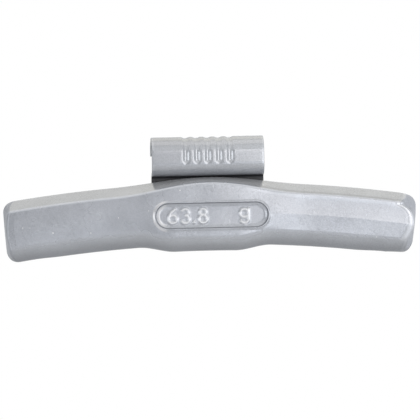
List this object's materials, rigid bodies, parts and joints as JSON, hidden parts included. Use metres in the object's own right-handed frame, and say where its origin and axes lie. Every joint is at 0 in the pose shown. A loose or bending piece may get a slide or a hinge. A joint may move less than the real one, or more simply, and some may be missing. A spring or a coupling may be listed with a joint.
{
  "type": "wheel balance weight",
  "caption": "Clip-on wheel balance weight: a gently arched, painted steel bar with a long recess, held by a spring steel hook that grips a wheel's rim lip.",
  "frame": {"origin": "the axis of the hook's upper bend, which grips the wheel's rim lip, at the middle of the hook's width", "axes": "+X along the bar, to the right as seen from the front; +Y towards the wheel, out of the bar's flat back; +Z outwards along the wheel's radius"},
  "size_m": [0.0946, 0.0097, 0.0282],
  "materials": {
    "bar_paint": "semi-gloss silver grey paint on forged steel",
    "clip_paint": "semi-gloss silver grey paint on spring steel"
  },
  "bodies": {
    "root": {"weight_body": "bar_paint", "spring_clip": "clip_paint"}
  },
  "joints": []
}
